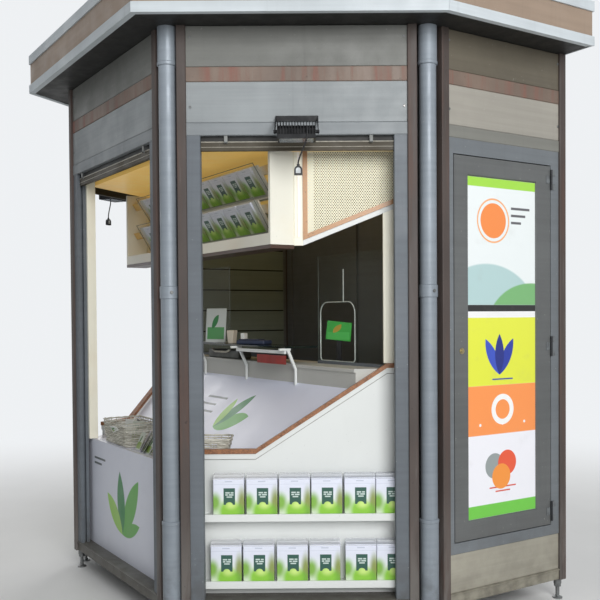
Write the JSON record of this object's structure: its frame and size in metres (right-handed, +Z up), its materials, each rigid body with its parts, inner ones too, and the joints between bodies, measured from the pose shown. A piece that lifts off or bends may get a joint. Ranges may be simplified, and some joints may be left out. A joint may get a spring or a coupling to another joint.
{
  "type": "street kiosk",
  "caption": "Street kiosk with a main front, diagonal display fronts, a flat back, wide eaves, downpipes and a hinged side door.",
  "frame": {"origin": "on the ground under the middle of the plan's bounding box", "axes": "+X along the main front to the door side, -Y out of the main front, +Z up"},
  "size_m": [3.1404, 2.1204, 3.025],
  "materials": {
    "brown_paint": "matt brown paint, faded red in patches and worn grey at the foot",
    "panel_grey": "satin grey painted sheet",
    "frame_grey": "satin blue grey painted aluminium",
    "trim_grey": "light grey painted edge trim",
    "fascia_brown": "taupe brown painted sheet",
    "soffit_dark": "dark grey painted sheet",
    "pipe_grey": "grey painted pipe, scuffed",
    "base_grey": "dark grey painted steel, dusty",
    "steel": "dull zinc plated steel",
    "roof_felt": "grey roofing felt",
    "floor_vinyl": "dark vinyl floor",
    "beige_panel": "beige grey painted sheet",
    "white_laminate": "white laminate",
    "cream_laminate": "cream laminate",
    "lilac_board": "pale lilac white printed board",
    "wood_edge": "varnished orange brown wood",
    "perforated_board": "cream perforated board",
    "clear_glass": "clear glass, slightly dusty",
    "dark_slats": "dark grey green slatted board",
    "lamp_aluminium": "dark grey cast aluminium with fins",
    "cord_rubber": "black rubber cable",
    "black_plastic": "black moulded plastic",
    "wicker": "off-white woven wicker",
    "poster_board": "printed poster board under clear sheet"
  },
  "bodies": {
    "kiosk": {"feet": "steel", "base_beams": "base_grey", "sills": "base_grey", "floor_plate": "floor_vinyl", "corner_backs": "soffit_dark", "end_posts": "brown_paint", "shutter_guides": "frame_grey", "header_rails": "frame_grey", "header_lower_panels": "panel_grey", "header_strips": "brown_paint", "header_upper_panels": "panel_grey", "shutter_bars": "base_grey", "soffit": "soffit_dark", "eave_lower_trim": "trim_grey", "fascia": "fascia_brown", "eave_upper_trim": "trim_grey", "roof_deck": "roof_felt", "ceiling": "cream_laminate", "pipe_spouts": "pipe_grey", "downpipes": "pipe_grey", "pipe_shoes": "pipe_grey", "side_frames": "frame_grey", "side_lower_panels": "beige_panel", "left_side_panel": "frame_grey", "back_frame": "frame_grey", "back_panels": "frame_grey", "slatted_wall": "dark_slats", "frame_hinges": "steel", "counter_front": "white_laminate", "counter_shelf": "white_laminate", "slanted_display": "lilac_board", "worktop": "white_laminate", "cheeks": "cream_laminate", "cheek_trims": "wood_edge", "cheek_shelves": "white_laminate", "inner_posts": "cream_laminate", "screen_channels": "frame_grey", "window_screens": "clear_glass", "shelf_brackets": "white_laminate", "glass_shelf": "clear_glass", "perforated_panels": "perforated_board", "overhead_display": "white_laminate", "display_trays": "white_laminate", "tray_glass": "clear_glass", "floodlights": "lamp_aluminium", "floodlight_glass": "clear_glass", "floodlight_brackets": "lamp_aluminium", "floodlight_leads": "cord_rubber", "floodlight_connectors": "black_plastic", "gift_baskets": "wicker"},
    "door": {"door_leaf": "frame_grey", "door_board": "poster_board", "door_lock": "steel", "door_hinges": "steel"}
  },
  "joints": [
    {"name": "door_swing", "type": "hinge", "parent": "kiosk", "child": "door", "pos_m": [1.38318, 0.95718, 1.3], "axis": [0, 0, 1], "range_deg": [0, 100]}
  ]
}
